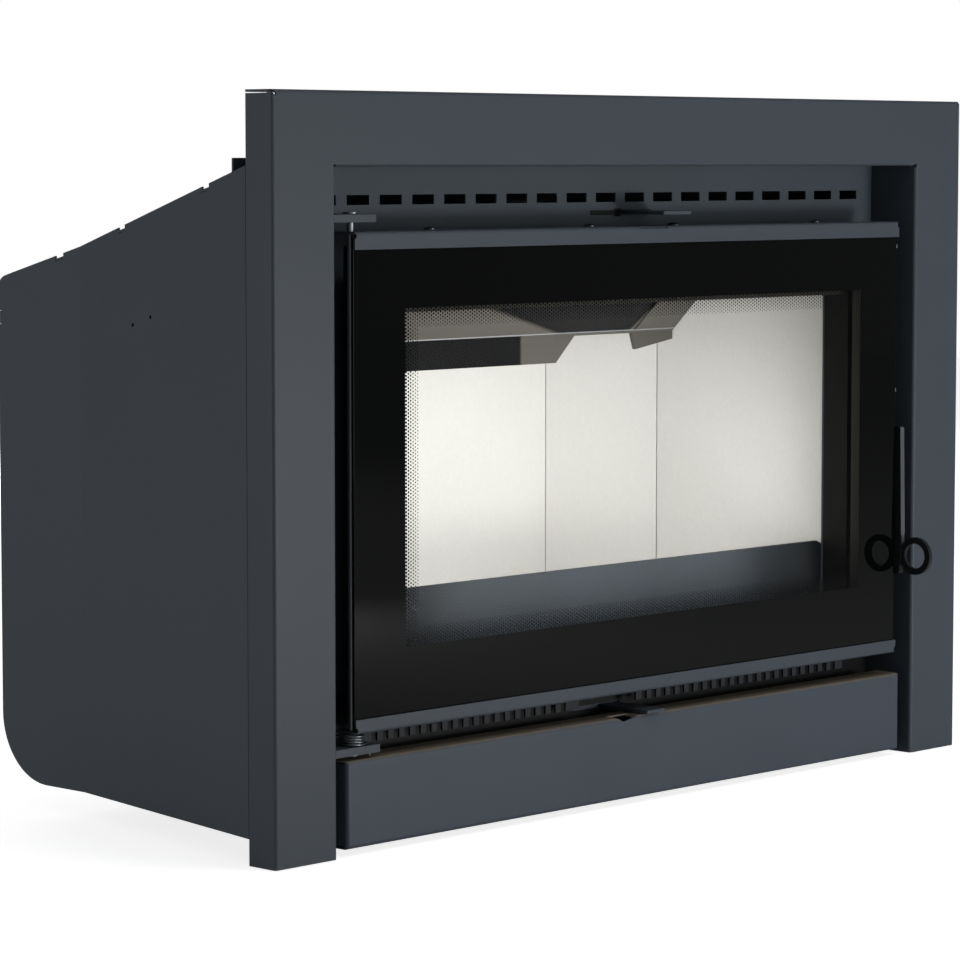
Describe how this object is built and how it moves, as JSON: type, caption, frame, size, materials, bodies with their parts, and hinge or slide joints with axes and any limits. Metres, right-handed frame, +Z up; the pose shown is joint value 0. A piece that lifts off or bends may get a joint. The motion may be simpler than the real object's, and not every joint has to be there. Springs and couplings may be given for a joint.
{
  "type": "fireplace insert",
  "caption": "Built-in firebox with a folded steel surround, a wide glass door on a sprung left hinge, slotted convection casing, air levers and an ash drawer behind the lower front.",
  "frame": {"origin": "middle of the insert's footprint, handle ring included, at the height of the surround frame's feet", "axes": "+X to the right as seen from the room, +Y from the room towards the back of the insert, +Z up"},
  "size_m": [0.865, 0.4286, 0.6],
  "materials": {
    "frame_paint": "satin anthracite heat-resistant paint",
    "casing_paint": "matt anthracite heat-resistant paint",
    "black_steel": "matt black heat-resistant paint",
    "lining_board": "pressed vermiculite board, matt",
    "cast_iron": "as cast, sooted",
    "bright_zinc": "zinc plated",
    "spring_steel": "drawn wire",
    "seal_rope": "knitted glass rope",
    "printed_glass": "polished ceramic glass with a black printed border"
  },
  "bodies": {
    "insert": {"surround_frame": "frame_paint", "front_panel": "frame_paint", "air_grille": "frame_paint", "upper_hinge_bracket": "frame_paint", "lower_hinge_bracket": "frame_paint", "log_guard": "frame_paint", "casing_side_left": "casing_paint", "casing_side_right": "casing_paint", "casing_back_and_base": "casing_paint", "casing_lid": "casing_paint", "firebox_wall": "black_steel", "firebox_top": "black_steel", "firebox_floor": "black_steel", "door_seat_frame": "black_steel", "smoke_outlet": "black_steel", "upper_slide_guide": "black_steel", "lower_slide_guide": "black_steel", "airwash_duct": "black_steel", "ash_chamber": "black_steel", "drawer_runner_left": "black_steel", "drawer_runner_right": "black_steel", "lining_back": "lining_board", "lining_corner_left": "lining_board", "lining_corner_right": "lining_board", "lining_side_left": "lining_board", "lining_side_right": "lining_board", "hearth_slab": "lining_board", "grate": "cast_iron", "baffle": "cast_iron", "baffle_hanger_left": "cast_iron", "baffle_hanger_right": "cast_iron", "hinge_rod": "bright_zinc", "latch_catch": "bright_zinc", "levelling_foot_front_left": "bright_zinc", "levelling_foot_front_right": "bright_zinc", "levelling_foot_rear_left": "bright_zinc", "levelling_foot_rear_right": "bright_zinc", "closing_spring": "spring_steel"},
    "door": {"door_top_rail": "frame_paint", "door_bottom_rail": "frame_paint", "door_glass": "printed_glass", "door_inner_frame": "black_steel", "door_seal": "seal_rope", "handle_bolt": "bright_zinc", "top_rail_screw_1": "bright_zinc", "top_rail_screw_2": "bright_zinc", "top_rail_screw_3": "bright_zinc", "top_rail_screw_4": "bright_zinc", "bottom_rail_screw_1": "bright_zinc", "bottom_rail_screw_2": "bright_zinc", "bottom_rail_screw_3": "bright_zinc", "bottom_rail_screw_4": "bright_zinc", "glass_clip_upper": "bright_zinc", "glass_clip_lower": "bright_zinc"},
    "handle": {"door_handle": "frame_paint"},
    "upper_air_control": {"upper_air_slide": "frame_paint"},
    "lower_air_control": {"lower_air_slide": "frame_paint"},
    "ash_drawer": {"lower_front": "frame_paint", "ash_pan": "black_steel"}
  },
  "joints": [
    {"name": "door_hinge", "type": "hinge", "parent": "insert", "child": "door", "pos_m": [-0.3382, -0.1677, 0.29], "axis": [0, 0, -1], "range_deg": [0, 100], "stiffness_Nm_per_rad": 0.6, "springref_deg": -20.05},
    {"name": "handle_turn", "type": "hinge", "parent": "door", "child": "handle", "pos_m": [0.35, -0.1672, 0.25], "axis": [-1, 0, 0], "range_deg": [0, 18]},
    {"name": "upper_air", "type": "slide", "parent": "insert", "child": "upper_air_control", "axis": [-1, 0, 0], "range_m": [0, 0.038]},
    {"name": "lower_air", "type": "slide", "parent": "insert", "child": "lower_air_control", "axis": [-1, 0, 0], "range_m": [0, 0.032]},
    {"name": "ash_drawer_slide", "type": "slide", "parent": "insert", "child": "ash_drawer", "axis": [0, -1, 0], "range_m": [0, 0.2]}
  ]
}
